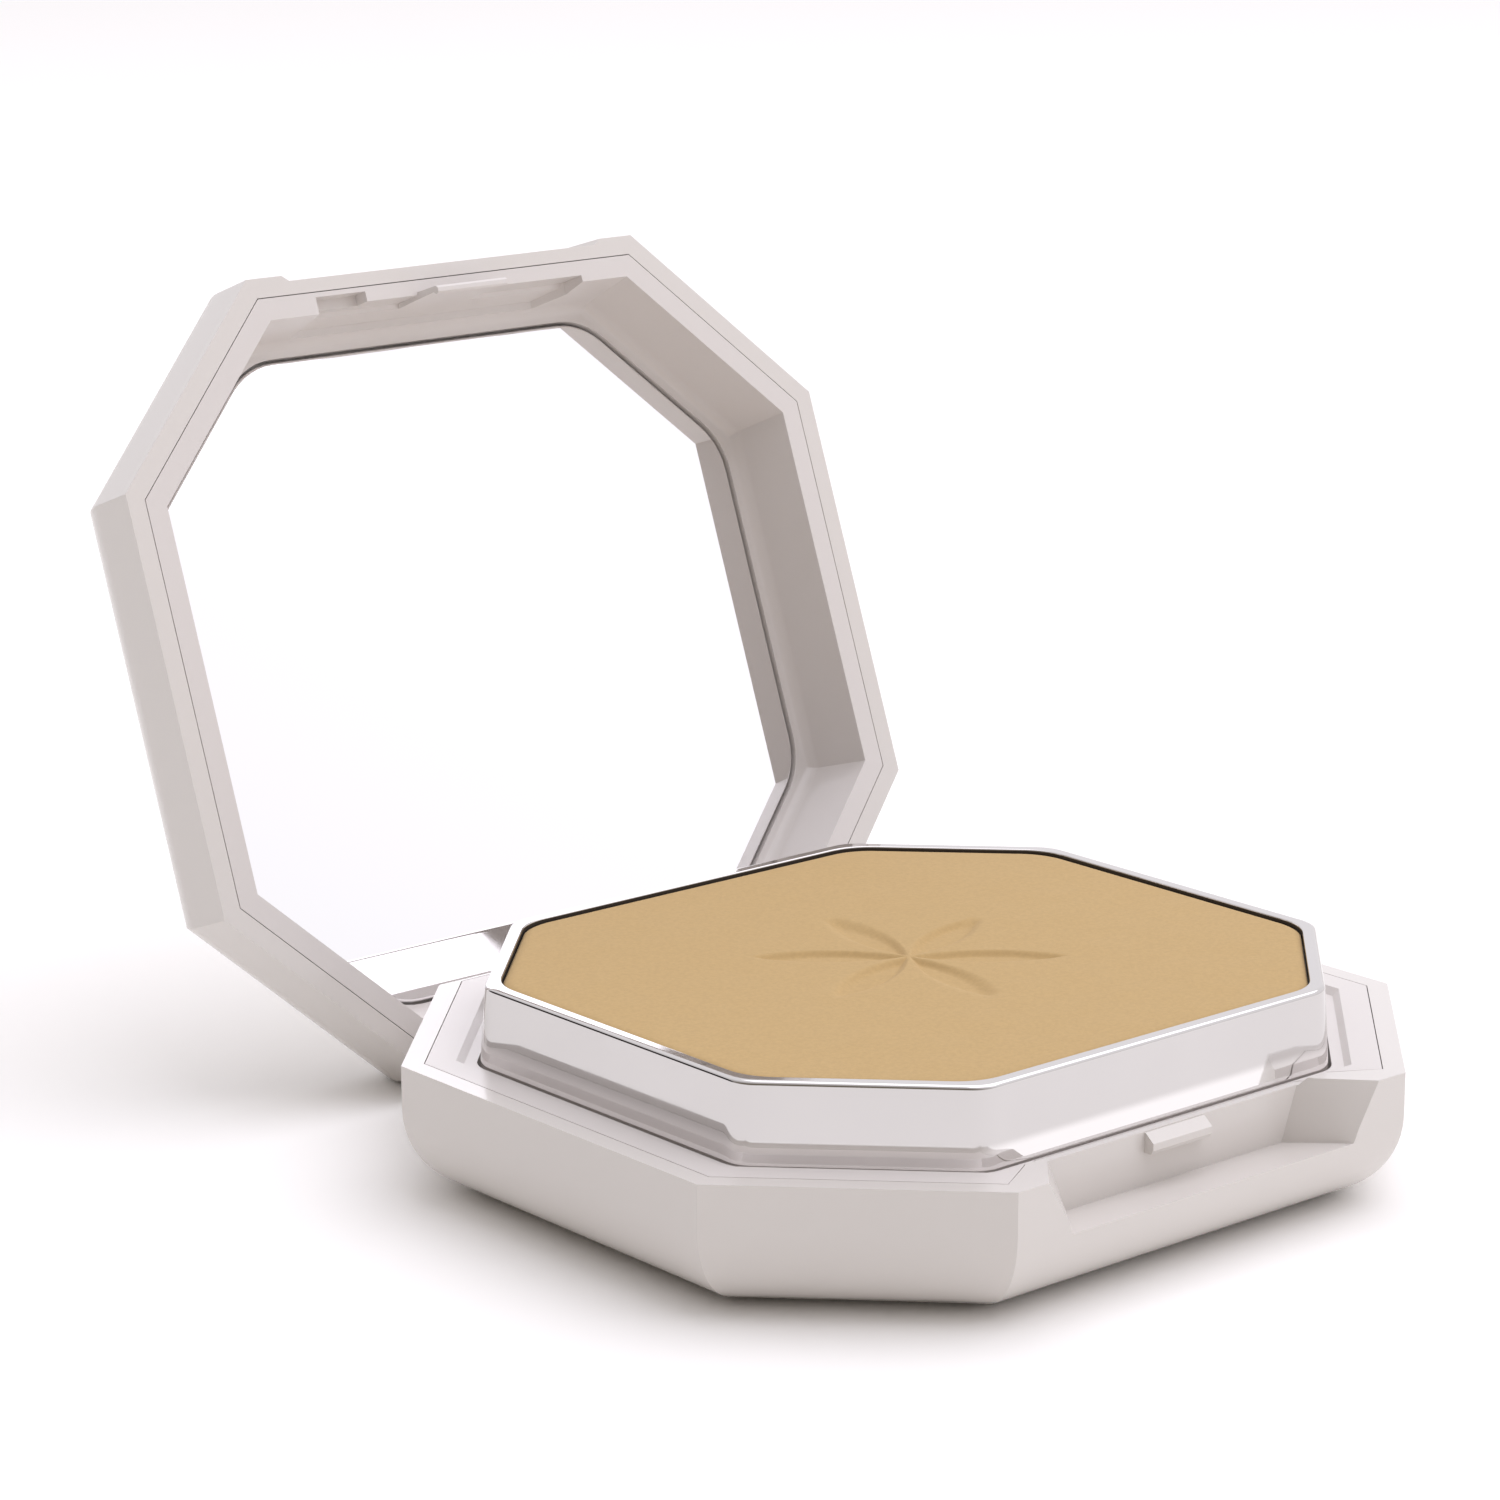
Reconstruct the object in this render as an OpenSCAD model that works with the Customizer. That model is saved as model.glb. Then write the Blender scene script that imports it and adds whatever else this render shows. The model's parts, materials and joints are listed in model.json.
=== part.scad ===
// Octagonal powder compact: hinged mirror lid, chrome-rimmed powder tray and a
// sponge compartment below the tray. The lid is drawn shut and then swung open.

/* [Body] */
// Width of the closed compact, left to right
body_w = 75; // [70:0.5:80]
// Depth of the closed compact, front to back
body_d = 69; // [65:0.5:74]
// Cut-off length of each corner, measured along a side
corner_cut = 16.5; // [14:0.25:18]
// Thickness of the outer shell walls
shell_wall = 1.7; // [1.5:0.05:1.8]
// Gap between a shell and the liner inside it
seam_gap = 0.08; // [0.06:0.02:0.14]

/* [Base] */
// Height of the base, from the table to its rim
base_h = 11; // [10.5:0.1:12]
// Radius of the curve from the base wall into the bottom
base_round = 7.5; // [7:0.1:7.9]
// Height of the seat that the powder tray stands on
deck_z = 8.6; // [8.4:0.1:8.8]
// Depth of the moat between the base's rim and the tray
moat_depth = 0.6; // [0.4:0.1:1]

/* [Lid] */
// Height of the lid, from its rim to its top face
lid_h = 9.1; // [8.9:0.1:9.6]
// Radius of the curve from the lid wall into the top face
lid_round = 4.4; // [4:0.1:4.8]
// Angle of the lid from shut to fully open, in degrees
lid_open = 110.6; // [90:0.2:110.6]
// Depth from the lid rim to the face of the mirror
mirror_depth = 6.7; // [6.5:0.05:6.9]
// Radius of the mirror's corners
mirror_corner = 6.5; // [3:0.5:7]

/* [Tray] */
// Distance from the body's outline in to the tray's chrome wall
tray_inset = 5.7; // [5.6:0.05:5.9]
// Height of the tray's chrome wall
tray_h = 8.3; // [8:0.1:8.5]
// Radius of the tray's upright corners
tray_corner = 3; // [2.4:0.1:3.4]
// Depth of the powder below the chrome rim
powder_recess = 0.2; // [0.15:0.05:0.6]

/* [Hinge] */
// Diameter of the hinge pin
pin_d = 1.4; // [1.2:0.1:1.6]
// Width of the lid's hinge knuckle
knuckle_w = 26; // [20:0.5:30]

/* [Thumb notch] */
// Width of the thumb notch at the rim
notch_w = 35.8; // [30:0.2:38]
// Depth of the thumb notch below the rim
notch_depth = 4.5; // [4:0.1:5]

/* [Hidden] */
$fn = 64;

// Half sizes of the outline: across the sides, front to back, and across the corners
half_x = body_w / 2;
half_y = body_d / 2;
half_d = (half_x + half_y - corner_cut) / sqrt(2);
reach = 2 * body_w;
arc_steps = 14;

// Shells and liners
liner_inset = shell_wall + seam_gap;
base_floor = 1.6;
label_t = 0.12;
moat_inset = 4.1;
moat_z = base_h - moat_depth;
well_gap = 0.15;
deck_t = 1.2;
cup_inset = 6.8;
cup_wall = 1;
cup_floor = base_floor + 1.2;
cup_round = 1.5;

// Hinge: the axis lies inside the rear wall, below the rim
hinge_y = half_y - 2.3;
hinge_z = 6;
barrel_r = 1.8;
barrel_gap = 0.2;
arm_t = 1.4;
arm_y = half_y - 0.2 - arm_t;
lug_w = 4;
slot_half = knuckle_w / 2 + barrel_gap;
slot_z = 2.6;
pin_len = 2 * (slot_half + lug_w) - 0.6;
running_gap = 0.05;

// Thumb notch, latch nub and hook
notch_back = -half_y + 4.7;
notch_floor = base_h - notch_depth;
notch_fall = 0.5;
housing_half = 14;
housing_depth = 3.6;
housing_floor = 1.1;
nub_half = 3.2;
nub_low = base_h - 2.3;
nub_high = moat_z - 0.1;
nub_reach = 0.95;
hook_half = 3.8;
hook_gap = 0.1;
hook_low = nub_low - 0.6;

// Lid
rim_gap = 0.15;
rim_inset = 3.7;
lid_z = base_h + rim_gap;
lid_top = lid_z + lid_h;
lid_ceiling = lid_top - 1.1;
mirror_z = lid_z + mirror_depth;
mirror_t = 1.1;
mirror_inset = 6.2;
lip_inset = 5.95;
lip_z = mirror_z - 0.15;
wall_foot_inset = 4.6;
pocket_half = 14.4;
pocket_z = mirror_z - 1.4;

// Tray
tray_z = deck_z;
tray_top = tray_z + tray_h;
ring_wall = 0.9;
bezel_w = 1.7;
bezel_t = 0.8;
bezel_corner = tray_corner + 2;
frame_inset = tray_inset + ring_wall + 0.05;
frame_wall = 0.4;
frame_floor = tray_z + 1;
pan_z = tray_top - 5.6;
pan_top = tray_top - bezel_t - 0.1;
pan_inset = frame_inset + frame_wall + 0.05;
pan_wall = 0.3;
pan_corner = tray_corner - ring_wall - frame_wall - 0.1;
powder_top = tray_top - powder_recess;

// ---- Shapes shared by the parts ----

// Corner cut of the outline once every side has moved in by t
function cut_at(t) = (half_x + half_y - 2 * t) - sqrt(2) * (half_d - t);

// The octagon's eight corners, anticlockwise, with every side moved in by t
function corners(t) =
    let (x = half_x - t, y = half_y - t, c = cut_at(t))
    [[x, c - y], [x, y - c], [x - c, y], [c - x, y],
     [-x, y - c], [-x, c - y], [c - x, -y], [x - c, -y]];

module octagon(t) {
    polygon(corners(t));
}

// Octagon with corners rounded to radius r
module soft_octagon(t, r) {
    p = corners(t + r);
    polygon([for (i = [0:7], k = [-6:0]) let (a = 45 * i + 7.5 * k) p[i] + r * [cos(a), sin(a)]]);
}

module plate(t, z0, z1) {
    translate([0, 0, z0]) linear_extrude(z1 - z0) octagon(t);
}

module soft_plate(t, r, z0, z1) {
    translate([0, 0, z0]) linear_extrude(z1 - z0) soft_octagon(t, r);
}

// One profile, drawn for the half width $half, carried along one direction
module along(half, turn) {
    $half = half;
    rotate([0, 0, turn]) rotate([90, 0, 0]) linear_extrude(reach, center = true) children();
}

// The same profile round all eight sides, with mitred corners
module mitred() {
    intersection() {
        along(half_x, 0) children();
        along(half_y, 90) children();
        along(half_d, 45) children();
        along(half_d, -45) children();
    }
}

// Quarter circle of radius r about (x, z), clockwise from angle a
function quarter(x, z, r, a) =
    [for (i = [0:arc_steps]) let (b = a - 90 * i / arc_steps) [x + r * cos(b), z + r * sin(b)]];

// Bowl profile: straight walls above, quarter rounds of radius r into the bottom
module bowl(t, r, z0, z1) {
    w = $half - t;
    polygon(concat([[w, z1]], quarter(w - r, z0 + r, r, 0), quarter(r - w, z0 + r, r, -90), [[-w, z1]]));
}

// The bowl upside down
module dome(t, r, z0, z1) {
    w = $half - t;
    polygon(concat([[-w, z0]], quarter(r - w, z1 - r, r, 180), quarter(w - r, z1 - r, r, 90), [[w, z0]]));
}

// Tapered pocket cut into a front wall: half widths at the mouth and at the back
module pocket(y0, y1, z0, z1, mouth, back, lift) {
    polyhedron(
        points = [
            [-mouth[0], y0, z0], [mouth[0], y0, z0], [mouth[1], y0, z1], [-mouth[1], y0, z1],
            [-back[0], y1, z0 + lift], [back[0], y1, z0 + lift], [back[1], y1, z1], [-back[1], y1, z1]
        ],
        faces = [[0, 3, 2, 1], [4, 5, 6, 7], [0, 1, 5, 4], [1, 2, 6, 5], [3, 7, 6, 2], [0, 4, 7, 3]]
    );
}

// A profile in Y and Z, carried from -half to half along X
module across(half) {
    rotate([90, 0, 90]) linear_extrude(2 * half, center = true) children();
}

module at_hinge(half, r) {
    across(half) translate([hinge_y, hinge_z]) circle(r);
}

// Lid parts are drawn shut; this swings them open about the hinge
module swung() {
    translate([0, hinge_y, hinge_z]) rotate([-lid_open, 0, 0])
        translate([0, -hinge_y, -hinge_z]) children();
}

// Half width of the thumb notch, inward from the front face and down from the rim
function notch_half(inward, down) = notch_w / 2 - 0.92 * inward - 0.62 * down;

// Space that a thumb reaches into, through the base's front wall
module thumb_notch() {
    over = 1;
    deep = notch_back + half_y;
    pocket(
        -half_y - over, notch_back, notch_floor, base_h + over,
        [notch_half(-over, notch_depth), notch_half(-over, -over)],
        [notch_half(deep, notch_depth + notch_fall) + 1.6, notch_half(deep, -over)],
        -notch_fall
    );
}

// ---- Base ----

module base_shell() color([0.85, 0.83, 0.84]) {
    difference() {
        union() {
            difference() {
                mitred() bowl(0, base_round, 0, base_h);
                mitred() bowl(shell_wall, base_round - base_floor, base_floor, base_h + 1);
            }
            intersection() {
                mitred() bowl(0, base_round, 0, base_h);
                hinge_lugs();
            }
            intersection() {
                mitred() bowl(0, base_round, 0, base_h);
                notch_housing(0);
            }
        }
        ring_seat();
        thumb_notch();
        hinge_slot();
        rear_relief();
        at_hinge(slot_half + lug_w - 0.3, pin_d / 2);
        plate(14, -1, label_t);
    }
    latch_nub();
}

module hinge_lugs() {
    for (s = [-1, 1]) translate([s * (slot_half + lug_w / 2), 0, 0]) {
        at_hinge(lug_w / 2, barrel_r);
        translate([-lug_w / 2, hinge_y, hinge_z - barrel_r]) cube([lug_w, half_y, 2 * barrel_r]);
    }
}

module hinge_slot() {
    translate([-slot_half, hinge_y - barrel_r - barrel_gap, slot_z])
        cube([2 * slot_half, reach, base_h]);
}

// The rear edge is rounded off so that the lid's rim can roll over it
module rear_relief() {
    y = half_y - shell_wall;
    z = base_h - shell_wall;
    across(half_x) polygon(concat(
        [[half_y + 1, base_h + 1], [y, base_h + 1]], quarter(y, z, shell_wall, 90), [[half_y + 1, z]]
    ));
}

module base_liner() color([0.86, 0.84, 0.85]) {
    difference() {
        union() {
            intersection() {
                mitred() bowl(liner_inset, base_round - base_floor - seam_gap, base_floor, base_h);
                difference() {
                    plate(0, deck_z - deck_t, base_h);
                    ring_seat();
                }
            }
            mitred() bowl(cup_inset, cup_round, base_floor, deck_z);
        }
        mitred() bowl(cup_inset + cup_wall, cup_round - 0.5, cup_floor, base_h + 1);
        notch_housing(seam_gap);
        hinge_clearance();
    }
}

// Shallow moat inside the rim and the well that the ring drops into
module ring_seat() {
    mitred() moat();
    soft_plate(tray_inset - well_gap, tray_corner + well_gap, deck_z, base_h + 1);
}

module moat() {
    w = $half - moat_inset;
    slope = 0.5;
    polygon([
        [-w, base_h + 1], [-w, base_h], [slope - w, moat_z],
        [w - slope, moat_z], [w, base_h], [w, base_h + 1]
    ]);
}

// Front of the shell, round the thumb notch, grown by the gap to the liner
module notch_housing(gap) {
    z0 = notch_floor - notch_fall - housing_floor - gap;
    y = -half_y + liner_inset;
    x = half_x - liner_inset - cut_at(liner_inset) + gap;
    front = y - shell_wall;
    back = y + housing_depth + gap;
    half = housing_half + gap;
    translate([0, 0, z0]) linear_extrude(base_h + gap - z0)
        polygon([[-x, front], [x, front], [x, y], [half, back], [-half, back], [-x, y]]);
}

// Wedge on the notch's back wall that the hook catches under
module latch_nub() {
    front = notch_back - nub_reach;
    across(nub_half) polygon([
        [notch_back + 0.3, nub_low], [notch_back + 0.3, nub_high], [notch_back - 0.1, nub_high],
        [front, nub_high - 0.7], [front, nub_low + 0.35], [front + 0.25, nub_low]
    ]);
}

// Room for the barrel and the lugs beneath the deck
module hinge_clearance() {
    w = slot_half + lug_w + barrel_gap;
    r = barrel_r + barrel_gap;
    translate([-w, hinge_y - r, hinge_z - r]) cube([2 * w, reach, 2 * r]);
}

module bottom_label() color([0.93, 0.93, 0.92]) soft_plate(14.1, 1, 0, label_t);

module hinge_pin() color([0.72, 0.73, 0.74]) at_hinge(pin_len / 2, pin_d / 2);

// ---- Powder tray and what lies under it ----

module sponge() color([0.93, 0.88, 0.80])
    mitred() bowl(cup_inset + cup_wall + 0.5, 1.4, cup_floor, deck_z - 1.8);

module tray_ring() color([0.82, 0.82, 0.84]) difference() {
    soft_plate(tray_inset, tray_corner, tray_z, tray_top);
    soft_plate(tray_inset + ring_wall, tray_corner - ring_wall, tray_z - 1, tray_top - bezel_t);
    soft_plate(tray_inset + bezel_w, bezel_corner, tray_z, tray_top + 1);
}

module tray_frame() color([0.84, 0.82, 0.83]) {
    difference() {
        soft_plate(frame_inset, tray_corner - ring_wall - 0.05, frame_floor, tray_top - bezel_t - 0.05);
        soft_plate(frame_inset + frame_wall, tray_corner - ring_wall - frame_wall, pan_z - 0.15, tray_top);
        soft_plate(frame_inset + 3, 1, frame_floor - 1, pan_z - 1.35);
    }
    difference() {
        plate(cup_inset + cup_wall + 0.15, tray_z - 1.4, frame_floor + 0.5);
        plate(cup_inset + cup_wall + 1.15, tray_z - 2, frame_floor + 1);
    }
}

module pan_adhesive() color([0.9, 0.9, 0.86]) soft_plate(pan_inset + 3, 1, pan_z - 0.15, pan_z);

module powder_pan() color([0.75, 0.75, 0.74]) difference() {
    soft_plate(pan_inset, pan_corner, pan_z, pan_top);
    soft_plate(pan_inset + pan_wall, pan_corner - pan_wall, pan_z + pan_wall, tray_top);
}

// The powder fills the pan and stands a little proud of it, inside the bezel
module powder_cake() color([0.80, 0.68, 0.50]) {
    soft_plate(pan_inset + pan_wall, pan_corner - pan_wall, pan_z + pan_wall, pan_top);
    soft_plate(tray_inset + bezel_w + 0.1, bezel_corner - 0.1, pan_z + pan_wall, powder_top);
}

// ---- Lid ----

module lid_shell() color([0.85, 0.83, 0.84]) swung() difference() {
    union() {
        difference() {
            mitred() dome(0, lid_round, lid_z, lid_top);
            mitred() dome(shell_wall, lid_round - 1.1, lid_z - 1, lid_ceiling);
        }
        at_hinge(knuckle_w / 2, barrel_r);
        translate([-knuckle_w / 2, arm_y, hinge_z]) cube([knuckle_w, arm_t, lid_z - hinge_z + 1]);
    }
    at_hinge(knuckle_w, pin_d / 2 + running_gap);
    lid_notch();
}

// Shallow thumb relief in the lid's front wall, deepest at the rim
module lid_notch() {
    w = notch_w / 2;
    front = -half_y - 1;
    hull() {
        translate([-w, front, lid_z - 1]) cube([2 * w, 1, 0.1]);
        translate([0.8 - w, front, lid_z - 1]) cube([2 * w - 1.6, 1.6, 0.1]);
        translate([3.5 - w, front, lid_z + 5]) cube([2 * w - 7, 1, 0.1]);
    }
}

module lid_liner() color([0.80, 0.78, 0.77]) swung() {
    difference() {
        mitred() dome(liner_inset, lid_round - 1.1 - seam_gap, lid_z, lid_ceiling);
        mitred() lid_hollow();
        soft_plate(lip_inset, mirror_corner + mirror_inset - lip_inset, lid_z, lid_top);
        latch_pocket();
    }
    lid_hook();
}

// Sloping inner walls that roll over into the lip round the mirror
module lid_hollow() {
    w = $half;
    roll = lip_inset - wall_foot_inset;
    x = w - lip_inset;
    z = lip_z - roll;
    polygon(concat(
        [[w - rim_inset, lid_z - 1], [w - rim_inset, lid_z]],
        [for (a = [0:10:90]) [x + roll * cos(a), z + roll * sin(a)]],
        [for (a = [90:-10:0]) [-x - roll * cos(a), z + roll * sin(a)]],
        [[rim_inset - w, lid_z], [rim_inset - w, lid_z - 1]]
    ));
}

// Recess in the front wall that leaves room for the hook to flex, and a relief slot at its left
module latch_pocket() {
    y = -half_y + 3.1;
    slot_depth = 1.6;
    intersection() {
        across(pocket_half) polygon([
            [y, lid_z - 1], [y, lid_z + 3], [y + 0.4, lid_z + 3.2],
            [y + 0.9, pocket_z], [y + 4, pocket_z + 0.5], [y + 4, lid_z - 1]
        ]);
        rotate([90, 0, 0]) linear_extrude(reach) polygon([
            [-pocket_half, lid_z - 1], [pocket_half, lid_z - 1], [pocket_half, pocket_z - 2.5],
            [pocket_half - 3, pocket_z + 1], [-pocket_half, pocket_z + 1]
        ]);
    }
    translate([-pocket_half, y - 0.9, lid_z - 1]) cube([5.2, 2, slot_depth + 1]);
}

// The bead at the hook's tip passes just clear of the nub
module lid_hook() {
    tip = notch_back - nub_reach - hook_gap;
    root = lid_z + 4.3;
    across(hook_half) polygon([
        [tip, hook_low + 0.15], [tip, hook_low + 0.45], [tip - 0.25, hook_low + 0.7], [tip - 0.1, root],
        [tip - 1.6, root], [tip - 1.6, root - 0.6], [tip - 0.95, root - 1.4],
        [tip - 0.7, hook_low + 0.2], [tip - 0.5, hook_low], [tip - 0.15, hook_low]
    ]);
}

module mirror_glass() color([0.93, 0.95, 0.96])
    swung() soft_plate(mirror_inset, mirror_corner, mirror_z, mirror_z + mirror_t);

module mirror_tape() color([0.95, 0.95, 0.93])
    swung() soft_plate(9, 2, mirror_z + mirror_t, lid_ceiling);

base_shell();
base_liner();
bottom_label();
hinge_pin();
sponge();
tray_ring();
tray_frame();
pan_adhesive();
powder_pan();
powder_cake();
lid_shell();
lid_liner();
mirror_glass();
mirror_tape();
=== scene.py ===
# Looks for the powder compact: bevelled copies of the CAD shells, a chrome ring with
# drafted walls, pressed powder with a rosette, a foam sponge, studio light and camera.
import json
import math
import bmesh
import bpy
from mathutils import Matrix, Vector


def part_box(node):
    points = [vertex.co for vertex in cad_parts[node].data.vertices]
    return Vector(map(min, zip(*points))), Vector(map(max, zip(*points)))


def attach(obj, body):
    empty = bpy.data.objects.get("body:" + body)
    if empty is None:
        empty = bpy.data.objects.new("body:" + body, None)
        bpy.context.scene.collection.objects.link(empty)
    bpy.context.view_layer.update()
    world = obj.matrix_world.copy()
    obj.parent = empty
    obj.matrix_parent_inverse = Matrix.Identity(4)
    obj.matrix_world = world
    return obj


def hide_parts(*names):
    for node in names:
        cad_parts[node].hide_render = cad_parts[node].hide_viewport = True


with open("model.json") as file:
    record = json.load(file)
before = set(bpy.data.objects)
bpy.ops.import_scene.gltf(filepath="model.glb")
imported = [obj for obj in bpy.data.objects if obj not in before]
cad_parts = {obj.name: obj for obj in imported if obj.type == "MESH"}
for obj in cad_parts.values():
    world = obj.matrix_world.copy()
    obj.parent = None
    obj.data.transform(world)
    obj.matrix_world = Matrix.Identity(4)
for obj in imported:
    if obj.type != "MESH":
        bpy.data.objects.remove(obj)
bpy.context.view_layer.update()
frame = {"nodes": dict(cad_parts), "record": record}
scene = bpy.context.scene
MM = 0.001

# The body's outline: an octagon with its corners cut off, as the CAD draws it
low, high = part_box("base_shell")
HALF_X = (high[0] - low[0]) / 2
HALF_Y = (high[1] - low[1]) / 2
CORNER_CUT = 16.5 * MM
HALF_D = (HALF_X + HALF_Y - CORNER_CUT) / math.sqrt(2)

# Rings of edges in the rims that get a bevel of their own: (inset, bevel)
SEAM = (1.75 * MM, 0.06 * MM)
MOAT_TOP = (4.1 * MM, 0.34 * MM)
MOAT_FOOT = (4.6 * MM, 0.34 * MM)
SHELL_BEVEL = 0.35 * MM
LINER_BEVEL = 0.22 * MM
MIRROR_BEVEL = 0.3 * MM


# ---- Outlines and meshes ----

def corners(inset):
    """The octagon's corners, anticlockwise, with every side moved in by inset."""
    x = HALF_X - inset
    y = HALF_Y - inset
    cut = x + y - math.sqrt(2) * (HALF_D - inset)
    return [(x, cut - y), (x, y - cut), (x - cut, y), (cut - x, y),
            (-x, y - cut), (-x, cut - y), (cut - x, -y), (x - cut, -y)]


def even(count):
    """Fractions that split a side into count equal lengths."""
    return [k / count for k in range(1, count)]


def outline(inset, radius, z, arc=8, stops=(0.01, 0.99)):
    """The octagon at height z with rounded corners, and points at stops along each side."""
    centres = corners(inset + radius)
    points = []
    for i, (cx, cy) in enumerate(centres):
        for k in range(arc + 1):
            turn = math.radians(45 * i - 45 + 45 * k / arc)
            points.append(Vector((cx + radius * math.cos(turn), cy + radius * math.sin(turn), z)))
        next_x, next_y = centres[(i + 1) % 8]
        turn = math.radians(45 * i)
        start = points[-1]
        end = Vector((next_x + radius * math.cos(turn), next_y + radius * math.sin(turn), z))
        points.extend(start.lerp(end, stop) for stop in stops)
    return points


def inset_of(point):
    """How far inside the body's outline a point lies."""
    x, y = abs(point.x), abs(point.y)
    return min(HALF_X - x, HALF_Y - y, HALF_D - (x + y) / math.sqrt(2))


def link(name, mesh):
    obj = bpy.data.objects.new(name, mesh)
    scene.collection.objects.link(obj)
    return obj


def loft(name, rings, closed):
    """Quads between rings of equal length; closed joins the last ring to the first."""
    bm = bmesh.new()
    rows = [[bm.verts.new(p) for p in ring] for ring in rings]
    pairs = list(zip(rows, rows[1:])) + ([(rows[-1], rows[0])] if closed else [])
    for below, above in pairs:
        for i in range(len(below)):
            j = (i + 1) % len(below)
            bm.faces.new((below[i], below[j], above[j], above[i]))
    if not closed:
        for row in (rows[0], rows[-1]):
            middle = bm.verts.new(sum((v.co for v in row), Vector()) / len(row))
            for i in range(len(row)):
                bm.faces.new((row[i], row[(i + 1) % len(row)], middle))
    bmesh.ops.recalc_face_normals(bm, faces=bm.faces)
    mesh = bpy.data.meshes.new(name)
    bm.to_mesh(mesh)
    bm.free()
    mesh.shade_smooth()
    return link(name, mesh)


def apply_modifiers(obj):
    """Turns obj's modifiers into its mesh."""
    depsgraph = bpy.context.evaluated_depsgraph_get()
    mesh = bpy.data.meshes.new_from_object(obj.evaluated_get(depsgraph))
    obj.modifiers.clear()
    obj.data = mesh


def weight_normals(obj):
    mod = obj.modifiers.new("normals", "WEIGHTED_NORMAL")
    mod.mode = "FACE_AREA"
    mod.weight = 100


def refined(name, node, bevel, at_inset=(), to_shut=Matrix()):
    """A copy of a CAD node with rounded edges.

    at_inset lists (inset, bevel) for the rings of edges that get another bevel, and to_shut
    carries a point of the open lid to where the outline is measured.
    """
    sharp, flat, same_point, near = math.radians(24), math.radians(0.4), 2e-6, 0.2 * MM
    mesh = frame["nodes"][node].data.copy()
    bm = bmesh.new()
    bm.from_mesh(mesh)
    bmesh.ops.remove_doubles(bm, verts=bm.verts, dist=same_point)

    # Flat triangles merge, but not across a cut down the middle: a face can't surround a hole
    everything = bm.verts[:] + bm.edges[:] + bm.faces[:]
    halves = bmesh.ops.bisect_plane(bm, geom=everything, dist=same_point / 2,
                                    plane_co=(0, 0, 0), plane_no=(1, 0, 0))
    for part in halves["geom_cut"]:
        if isinstance(part, bmesh.types.BMEdge):
            part.seam = True
    bmesh.ops.dissolve_limit(bm, angle_limit=flat, verts=bm.verts, edges=bm.edges,
                             delimit={"SEAM"})

    weights = bm.edges.layers.float.new("bevel_weight_edge")
    widest = max([bevel] + [width for _, width in at_inset])
    for edge in bm.edges:
        if len(edge.link_faces) == 2 and edge.calc_face_angle() > sharp:
            middle = inset_of(to_shut @ ((edge.verts[0].co + edge.verts[1].co) / 2))
            widths = [width for inset, width in at_inset if abs(middle - inset) < near]
            edge[weights] = (widths or [bevel])[0] / widest
    bm.to_mesh(mesh)
    bm.free()
    mesh.materials.clear()
    obj = link(name, mesh)
    mod = obj.modifiers.new("edge", "BEVEL")
    mod.width = widest
    mod.segments = 3
    mod.limit_method = "WEIGHT"
    mod.use_clamp_overlap = True
    mod.loop_slide = True
    mesh.shade_smooth()
    weight_normals(obj)
    apply_modifiers(obj)
    return obj


# ---- Materials ----

def mix_colors(tree, factor, a, b):
    """From a to b by the socket factor, where a and b are colours or sockets."""
    mix = tree.nodes.new("ShaderNodeMix")
    mix.data_type = "RGBA"
    tree.links.new(factor, mix.inputs["Factor"])
    for key, value in (("A", a), ("B", b)):
        if isinstance(value, bpy.types.NodeSocket):
            tree.links.new(value, mix.inputs[key])
        else:
            mix.inputs[key].default_value = (*value, 1)
    return mix.outputs["Result"]


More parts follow.
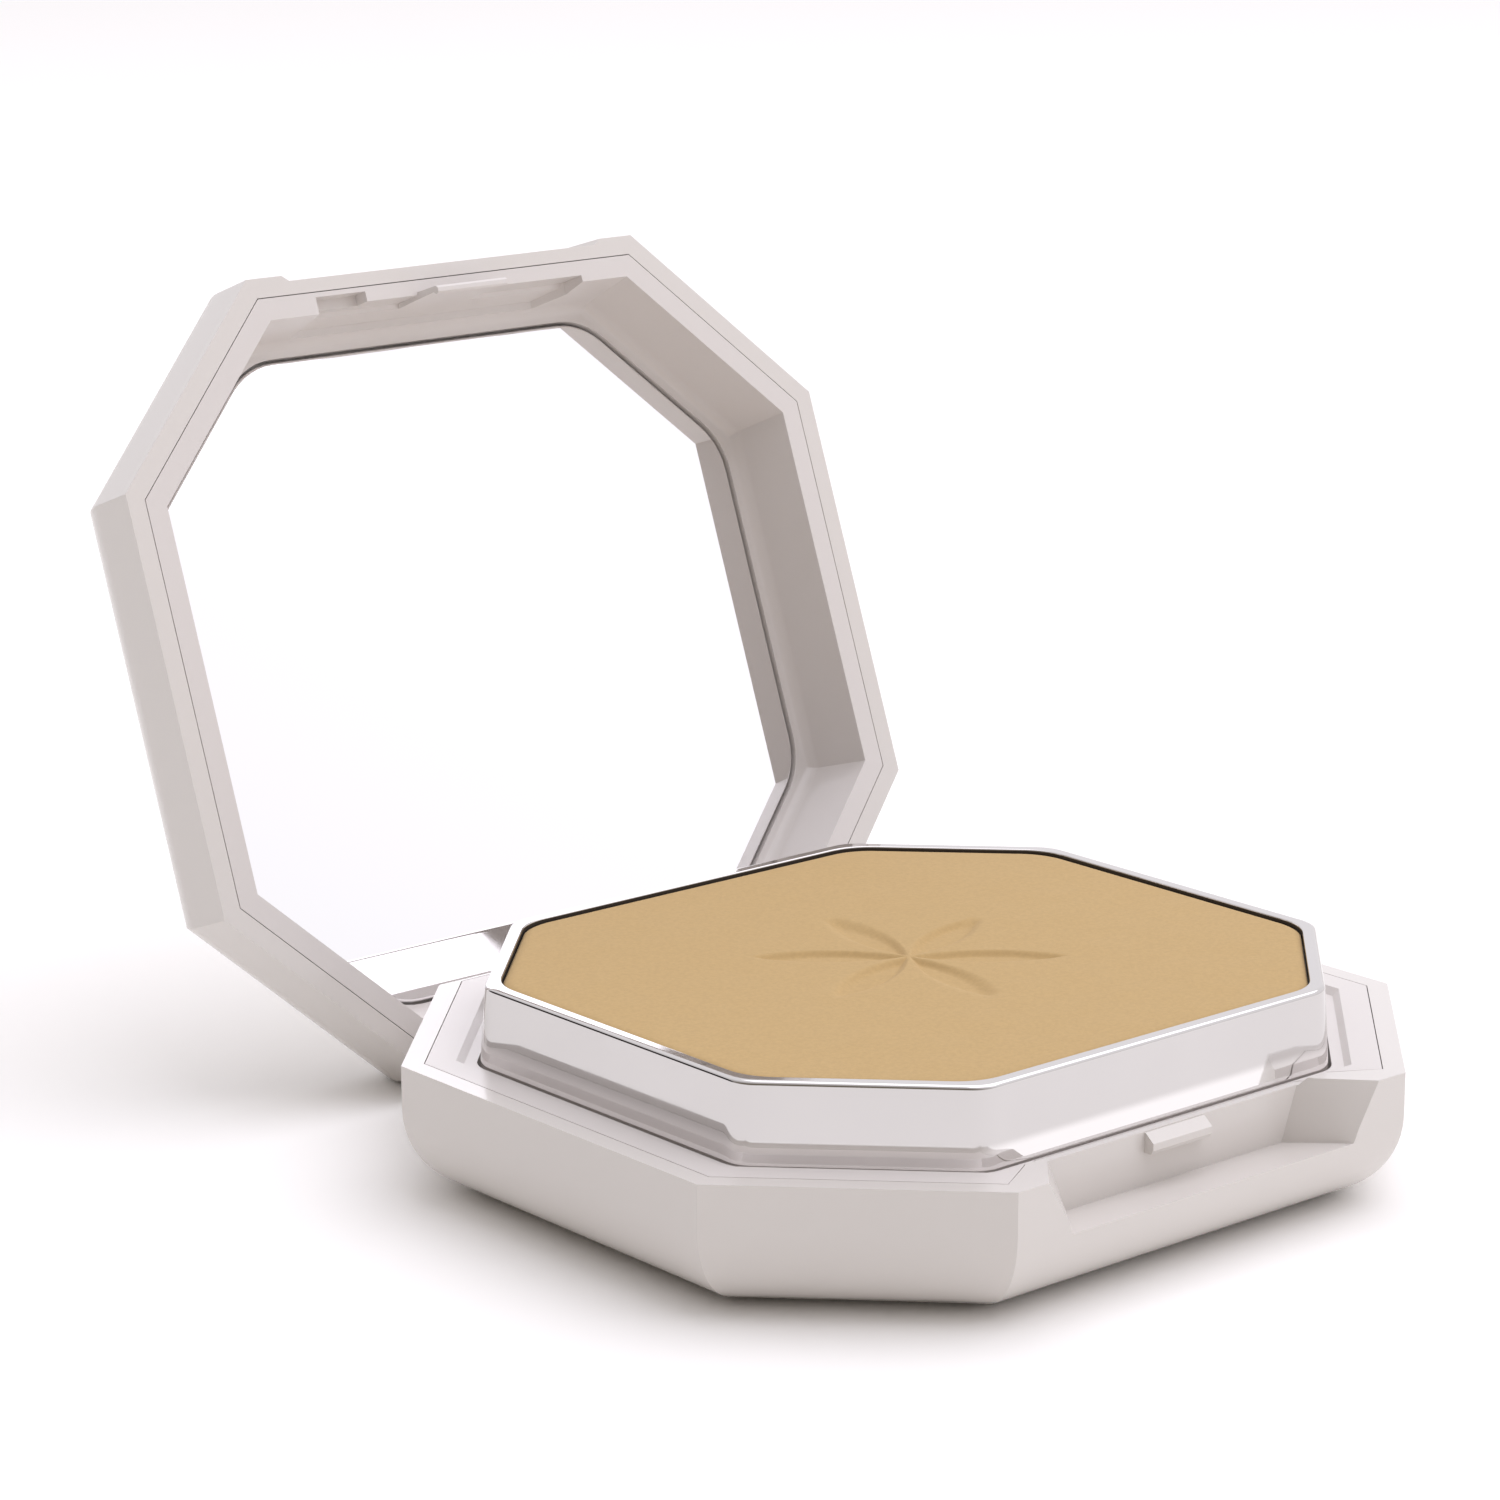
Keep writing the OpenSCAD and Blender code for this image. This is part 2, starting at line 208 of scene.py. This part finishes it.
class Shader:
    """A new material with its Principled BSDF and short calls for the nodes on it."""

    def __init__(self, name, color, rough, **plain):
        self.mat = bpy.data.materials.new(name)
        self.mat.use_nodes = True
        self.nodes = self.mat.node_tree.nodes
        self.links = self.mat.node_tree.links
        self.bsdf = self.nodes["Principled BSDF"]
        self.color = color
        self.set(Base_Color=(*color, 1), Roughness=rough, **plain)
        self.place = self.nodes.new("ShaderNodeTexCoord").outputs["Object"]

    def set(self, **values):
        for key, value in values.items():
            self.bsdf.inputs[key.replace("_", " ")].default_value = value

    def noise(self, size, detail=2, rough=0.5):
        """Noise whose features are about size metres across."""
        node = self.nodes.new("ShaderNodeTexNoise")
        node.inputs["Scale"].default_value = 1 / size
        node.inputs["Detail"].default_value = detail
        node.inputs["Roughness"].default_value = rough
        self.links.new(self.place, node.inputs["Vector"])
        return node.outputs["Fac"]

    def cells(self, size):
        """Distance from the middles of cells about size metres across."""
        node = self.nodes.new("ShaderNodeTexVoronoi")
        node.inputs["Scale"].default_value = 1 / size
        self.links.new(self.place, node.inputs["Vector"])
        return node.outputs["Distance"]

    def ranged(self, source, low, high, start=0.2, end=0.8):
        """From low to high, smoothly, as source goes from start to end."""
        node = self.nodes.new("ShaderNodeMapRange")
        node.interpolation_type = "SMOOTHSTEP"
        values = {"From Min": start, "From Max": end, "To Min": low, "To Max": high}
        for key, value in values.items():
            node.inputs[key].default_value = value
        self.links.new(source, node.inputs["Value"])
        return node.outputs["Result"]

    def vary_color(self, source, amount):
        """Darkens and lightens the colour by up to amount, following source."""
        darker = [c * (1 - amount) for c in self.color]
        lighter = [min(1, c * (1 + amount)) for c in self.color]
        color = mix_colors(self.mat.node_tree, self.ranged(source, 0, 1), darker, lighter)
        self.links.new(color, self.bsdf.inputs["Base Color"])

    def paint_foot_reflection(self, color, low, high):
        """Painted reflection: the colour below low, fading into the varied colour by high."""
        apart = self.nodes.new("ShaderNodeSeparateXYZ")
        self.links.new(self.place, apart.inputs["Vector"])
        foot = self.ranged(apart.outputs["Z"], 1, 0, low, high)
        base = self.bsdf.inputs["Base Color"]
        above = base.links[0].from_socket
        self.links.new(mix_colors(self.mat.node_tree, foot, above, color), base)

    def vary_rough(self, source, low, high):
        """Roughness from low to high, following source."""
        self.links.new(self.ranged(source, low, high), self.bsdf.inputs["Roughness"])

    def bump(self, source, height):
        """Bumps of this height from source, on top of any earlier bumps."""
        node = self.nodes.new("ShaderNodeBump")
        node.inputs["Distance"].default_value = height
        node.inputs["Strength"].default_value = 1
        self.links.new(source, node.inputs["Height"])
        previous = self.bsdf.inputs["Normal"]
        if previous.is_linked:
            self.links.new(previous.links[0].from_socket, node.inputs["Normal"])
        self.links.new(node.outputs["Normal"], previous)


def moulded_plastic(name, color, rough, coat):
    """Gloss plastic with a faint orange peel and a slightly uneven polish."""
    s = Shader(name, color, rough, IOR=1.48, Coat_Weight=coat, Coat_Roughness=0.08)
    s.vary_color(s.noise(22 * MM, detail=1), 0.008)
    s.vary_rough(s.noise(8 * MM, detail=1), rough - 0.02, rough + 0.02)
    s.bump(s.noise(1.8 * MM, detail=1), 0.0015 * MM)
    return s.mat


def metallised(name):
    """Bright metal coating, toned down except at the wall's foot: a painted reflection of the
    rim.
    """
    s = Shader(name, (0.63, 0.61, 0.60), 0.06, Metallic=1.0)
    s.vary_color(s.noise(9 * MM), 0.012)
    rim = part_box("base_liner")[1].z
    # Painted reflection: a lighter colour just above the rim, standing in for the rim's
    # reflection
    s.paint_foot_reflection((0.86, 0.84, 0.83), rim + 0.7 * MM, rim + 1.5 * MM)
    s.vary_rough(s.noise(2.5 * MM, detail=4), 0.035, 0.085)
    s.bump(s.noise(6 * MM, detail=1), 0.004 * MM)
    return s.mat


def painted_shade_edge(name):
    """Painted shade: near-black colour on the bare plastic inside the ring's opening, for its
    shadow.
    """
    s = Shader(name, (0.022, 0.018, 0.018), 0.5)
    s.vary_rough(s.noise(1 * MM), 0.42, 0.58)
    return s.mat


def silvered(name):
    """Mirror glass."""
    s = Shader(name, (0.97, 0.965, 0.97), 0.0, Metallic=1.0)
    s.vary_rough(s.noise(12 * MM), 0.0, 0.006)
    return s.mat


def pressed_powder(name):
    """Fine matte grain with a slightly uneven surface."""
    s = Shader(name, (0.52, 0.36, 0.166), 0.95, Specular_IOR_Level=0.22, Sheen_Weight=0.08)
    s.vary_color(s.noise(0.35 * MM, detail=6, rough=0.7), 0.07)
    s.vary_rough(s.noise(3 * MM, detail=3), 0.88, 1.0)
    s.bump(s.noise(6 * MM, detail=3), 0.02 * MM)
    s.bump(s.noise(0.16 * MM, detail=4, rough=0.7), 0.012 * MM)
    return s.mat


def foam(name):
    """Open cells with a soft sheen; the colour darkens at the cells' middles, where the bumps
    dip: painted shade in the pores.
    """
    s = Shader(name, (0.83, 0.74, 0.61), 0.95, Specular_IOR_Level=0.2, Sheen_Weight=0.25)
    s.vary_color(s.cells(0.35 * MM), 0.10)
    s.bump(s.cells(0.35 * MM), 0.09 * MM)
    s.bump(s.noise(0.12 * MM, detail=4), 0.03 * MM)
    return s.mat


def paper(name):
    """Plain label paper with a faint fibre."""
    s = Shader(name, (0.86, 0.86, 0.85), 0.62)
    s.vary_color(s.noise(0.5 * MM, detail=5), 0.02)
    s.bump(s.noise(0.25 * MM, detail=4), 0.008 * MM)
    return s.mat


def drawn_metal(name, color, rough):
    """Satin metal with an uneven polish."""
    s = Shader(name, color, rough, Metallic=1.0)
    s.vary_rough(s.noise(0.6 * MM, detail=5), rough - 0.06, rough + 0.08)
    s.bump(s.noise(0.3 * MM, detail=3), 0.002 * MM)
    return s.mat


def glue(name):
    """Cloudy adhesive or tape."""
    s = Shader(name, (0.78, 0.78, 0.72), 0.45, Subsurface_Weight=0.2)
    s.vary_color(s.noise(2 * MM, detail=3), 0.05)
    s.bump(s.noise(0.8 * MM), 0.02 * MM)
    return s.mat


SHELL = moulded_plastic("shell_plastic", (0.70, 0.663, 0.63), 0.22, 0.35)
LINER = moulded_plastic("liner_plastic", (0.70, 0.66, 0.636), 0.34, 0.15)
TRAY = moulded_plastic("tray_plastic", (0.64, 0.62, 0.63), 0.5, 0.0)
CHROME = metallised("chrome")
# Near-black painted shade for the inside of the ring's opening
PAINTED_SHADE = painted_shade_edge("ring_edge_painted_shade")
MIRROR = silvered("mirror")
POWDER = pressed_powder("powder")
FOAM = foam("sponge")
PAPER = paper("label")
PIN = drawn_metal("pin_steel", (0.60, 0.61, 0.63), 0.36)
PAN = drawn_metal("pan_metal", (0.72, 0.72, 0.71), 0.36)
GLUE = glue("adhesive")


def finish_piece(obj, node, body, slot, *materials):
    for mat in materials:
        obj.data.materials.append(mat)
    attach(obj, body)
    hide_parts(node)


# ---- Shells ----

# From the lid as the frame holds it, open, to where it is when shut
hinge = next(j for j in frame["record"]["behaviour"]["joints"] if j["name"] == "lid_hinge")
hinge_at = Vector(hinge["pos_m"])
swing = Matrix.Rotation(math.radians(hinge["range_deg"][0]), 4, Vector(hinge["axis"]))
TO_SHUT = Matrix.Translation(hinge_at) @ swing @ Matrix.Translation(-hinge_at)


def make_shells():
    base_outer = refined("base_outer", "base_shell", SHELL_BEVEL, [SEAM])
    finish_piece(base_outer, "base_shell", "base", "shell_plastic", SHELL)
    base_inner = refined("base_inner", "base_liner", LINER_BEVEL, [SEAM, MOAT_TOP, MOAT_FOOT])
    finish_piece(base_inner, "base_liner", "base", "liner_plastic", LINER)
    lid_outer = refined("lid_outer", "lid_shell", SHELL_BEVEL, [SEAM], TO_SHUT)
    finish_piece(lid_outer, "lid_shell", "lid", "shell_plastic", SHELL)
    lid_inner = refined("lid_inner", "lid_liner", LINER_BEVEL, [SEAM], TO_SHUT)
    finish_piece(lid_inner, "lid_liner", "lid", "liner_plastic", LINER)
    mirror = refined("mirror", "mirror_glass", MIRROR_BEVEL)
    finish_piece(mirror, "mirror_glass", "lid", "mirror", MIRROR)


# ---- Chrome ring ----

def make_ring():
    """The ring's section, carried round the rounded octagon: drafted wall, bezel, inside."""
    (x0, _, z0), (_, _, z1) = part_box("tray_ring")
    inset = HALF_X + x0
    outer_corner, bezel_corner, inner_corner = 3 * MM, 5 * MM, 2.1 * MM
    wall, bezel, lip = 0.9 * MM, 1.7 * MM, 0.8 * MM
    draft, round_top, round_in, chamfer = 0.52 * MM, 0.38 * MM, 0.12 * MM, 0.15 * MM
    wall_foot, wall_top = z0 + chamfer, z1 - round_top
    near = 0.03 * MM

    # Each point of the section is (inset, height, corner radius)
    section = [(chamfer, z0, outer_corner), (0, wall_foot, outer_corner)]
    for t in (0.01, 0.25, 0.5, 0.75, 0.99):
        section.append((draft * t, wall_foot + (wall_top - wall_foot) * t, outer_corner))
    for k in range(9):
        turn = math.radians(90 * k / 8)
        inward = round_top * (1 - math.cos(turn))
        section.append((draft + inward, z1 - round_top * (1 - math.sin(turn)), outer_corner))
    section += [(draft + round_top + near, z1, outer_corner),
                (bezel - round_in - near, z1, bezel_corner)]
    for k in range(5):
        turn = math.radians(90 * k / 4)
        inward = round_in * (1 - math.sin(turn))
        section.append((bezel - inward, z1 - round_in * (1 - math.cos(turn)), bezel_corner))
    opening = len(section) - 1
    section += [(bezel, z1 - round_in - near, bezel_corner),
                (bezel, z1 - lip + near, bezel_corner), (bezel, z1 - lip, bezel_corner),
                (wall, z1 - lip, inner_corner), (wall, z0, inner_corner)]

    rings = [outline(inset + t, r, z) for t, z, r in section]
    ring = loft("chrome_ring", rings, closed=True)
    # The two rows inside the opening take the near-black painted shade
    for face in ring.data.polygons:
        row = face.index // len(rings[0])
        if row in (opening, opening + 1):
            face.material_index = 1
    finish_piece(ring, "tray_ring", "tray", "chrome", CHROME, PAINTED_SHADE)


# ---- Powder ----

def smoothstep(value, start, end):
    """0 to 1, with soft ends, as value goes from start to end."""
    t = min(1, max(0, (value - start) / (end - start)))
    return t * t * (3 - 2 * t)


def rosette(point):
    """Depth of the pressed rosette: six petals between arcs struck from points on its rim."""
    size, slope, depth = 13 * MM, 0.8 * MM, 0.42 * MM
    away = []
    for k in range(6):
        turn = math.radians(60 * k + 20)
        away.append((point.xy - size * Vector((math.cos(turn), math.sin(turn)))).length)
    inside = max(size - max(away[k - 1], away[(k + 1) % 6]) for k in range(6))
    return depth * smoothstep(inside, 0, slope)


def make_powder():
    """Closed cake: wall, rounded shoulder and a grid over the top that carries the rosette."""
    (_, _, z0), (_, _, top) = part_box("powder_cake")
    inside_ring, corner = 1.82 * MM, 4.9 * MM
    inset = HALF_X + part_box("tray_ring")[0].x + inside_ring
    shoulder, drop, lead = 0.75 * MM, 0.22 * MM, 0.06 * MM
    below_shoulder = (0.25 * MM, 0.04 * MM)
    arc, stops, rows = 10, even(22), 160

    heights = [z0] + [top - drop - gap for gap in below_shoulder]
    rings = [outline(inset, corner, z, arc, stops) for z in heights]
    for k in range(1, 7):
        t = k / 6
        z = top - drop * (1 - t) ** 2
        rings.append(outline(inset + lead + shoulder * t, corner, z, arc, stops))
    edge = rings[-1]
    for k in range(1, rows):
        ring = [p.lerp(Vector((0, 0, top)), k / rows) for p in edge]
        for p in ring:
            p.z -= rosette(p)
        rings.append(ring)
    powder = loft("powder", rings, closed=False)
    finish_piece(powder, "powder_cake", "tray", "powder", POWDER)


# ---- Sponge ----

def make_sponge():
    """A crowned foam pad: soft edges and sides that pull in between the corners."""
    (x0, _, z0), (_, _, z1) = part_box("sponge")
    inset = HALF_X + x0
    corner, round_edge, crown = 3 * MM, 1.3 * MM, 0.35 * MM
    waist, pull, rows = 0.12 * MM, 0.35 * MM, 24
    top = z1 - crown

    def pulled(inward, z):
        """The outline moved in, most at the middles of its sides."""
        points = outline(inset + inward, corner, z, stops=even(6))
        for p in points:
            dip = pull * (0.5 + 0.5 * math.cos(8 * math.atan2(p.y, p.x)))
            p.xy *= 1 - dip / p.xy.length
        return points

    rounding = []
    for k in range(9):
        turn = math.radians(90 * k / 8)
        rounding.append((round_edge * (1 - math.cos(turn)), round_edge * (1 - math.sin(turn))))
    rings = [pulled(inward, z0 + drop) for inward, drop in reversed(rounding)]
    rings.append(pulled(waist, (z0 + z1) / 2))
    rings += [pulled(inward, top - drop) for inward, drop in rounding]
    edge = rings[-1]
    for k in range(1, rows):
        t = k / rows
        ring = [p.lerp(Vector((0, 0, p.z)), t) for p in edge]
        for p in ring:
            p.z += crown * math.sin(math.pi / 2 * t) ** 1.3
        rings.append(ring)
    rings[0] = [Vector((p.x, p.y, z0)) for p in rings[0]]
    pad = loft("sponge_pad", rings, closed=False)
    finish_piece(pad, "sponge", "base", "sponge", FOAM)


# ---- CAD parts that keep their shape ----

def finish_cad_parts():
    """Puts materials on the CAD nodes that stay as they are."""
    looks = {"bottom_label": PAPER, "hinge_pin": PIN, "tray_frame": TRAY,
             "pan_adhesive": GLUE, "powder_pan": PAN, "mirror_tape": GLUE}
    for node, mat in looks.items():
        mesh = frame["nodes"][node].data
        mesh.materials.clear()
        mesh.materials.append(mat)


# ---- Camera, floor and light ----

def aim(obj, location, toward):
    """Places a camera or lamp and points it along the vector toward."""
    obj.location = location
    obj.rotation_euler = Vector(toward).to_track_quat("-Z", "Y").to_euler()


def make_camera():
    data = bpy.data.cameras.new("camera")
    data.lens = 109.04
    data.sensor_width = 36
    data.clip_start = 0.01
    data.clip_end = 20
    camera = bpy.data.objects.new("camera", data)
    scene.collection.objects.link(camera)
    aim(camera, (-0.238155, -0.256695, 0.123471), (0.63249, 0.73372, -0.24822))
    scene.camera = camera


def make_light():
    """Even studio light: a sky that is brighter behind and to the right, and a soft overhead."""
    scene.view_settings.view_transform = "Standard"
    world = bpy.data.worlds.new("studio")
    scene.world = world
    world.use_nodes = True
    nodes, links = world.node_tree.nodes, world.node_tree.links
    place = nodes.new("ShaderNodeTexCoord").outputs["Generated"]

    def mask(vector, full, none):
        """1 where the direction along the vector is past full, 0 where it's short of none."""
        dot = nodes.new("ShaderNodeVectorMath")
        dot.operation = "DOT_PRODUCT"
        dot.inputs[1].default_value = vector
        links.new(place, dot.inputs[0])
        edge = nodes.new("ShaderNodeMapRange")
        edge.inputs["From Min"].default_value = none
        edge.inputs["From Max"].default_value = full
        links.new(dot.outputs["Value"], edge.inputs["Value"])
        return edge.outputs["Result"]

    dim, bright = (0.15, 0.122, 0.085), (1.06, 1.04, 1.08)
    pale, dark = (0.85, 0.82, 0.8), (0.03, 0.025, 0.025)
    up = (0, 0, 1)
    bright_side, back_left = (0.72, 0.3, 0.62), (-0.66, 0.75, 0)

    # From dim to bright, with a pale horizon all round, and a dark panel low at the back
    # left, which draws the line under the ring's bright edge
    sky = mix_colors(world.node_tree, mask(bright_side, 0.4, -0.5), dim, bright)
    sky = mix_colors(world.node_tree, mask(up, 0.03, 0.13), sky, pale)
    panel = nodes.new("ShaderNodeMath")
    panel.operation = "MULTIPLY"
    links.new(mask(back_left, 0.93, 0.90), panel.inputs[0])
    links.new(mask(up, 0.36, 0.40), panel.inputs[1])
    sky = mix_colors(world.node_tree, panel.outputs["Value"], sky, dark)
    links.new(sky, nodes["Background"].inputs["Color"])

    data = bpy.data.lights.new("overhead", "AREA")
    data.energy = 5
    data.size = 1.2
    data.color = (1, 0.985, 1.08)
    light = bpy.data.objects.new("overhead", data)
    scene.collection.objects.link(light)
    above = Vector((0.34, -0.12, 0.95))
    aim(light, above, -above)


def make_floor():
    """A plain floor out to the horizon, a hair below the compact's underside."""
    bm = bmesh.new()
    bmesh.ops.create_grid(bm, x_segments=1, y_segments=1, size=12)
    mesh = bpy.data.meshes.new("floor")
    bm.to_mesh(mesh)
    bm.free()
    floor = link("floor", mesh)
    floor.location.z = -0.05 * MM
    matte = Shader("floor", (0.98, 0.97, 0.95), 0.8, Specular_IOR_Level=0.2)
    floor.data.materials.append(matte.mat)


make_camera()
make_light()
make_floor()
make_shells()
make_ring()
make_powder()
make_sponge()
finish_cad_parts()
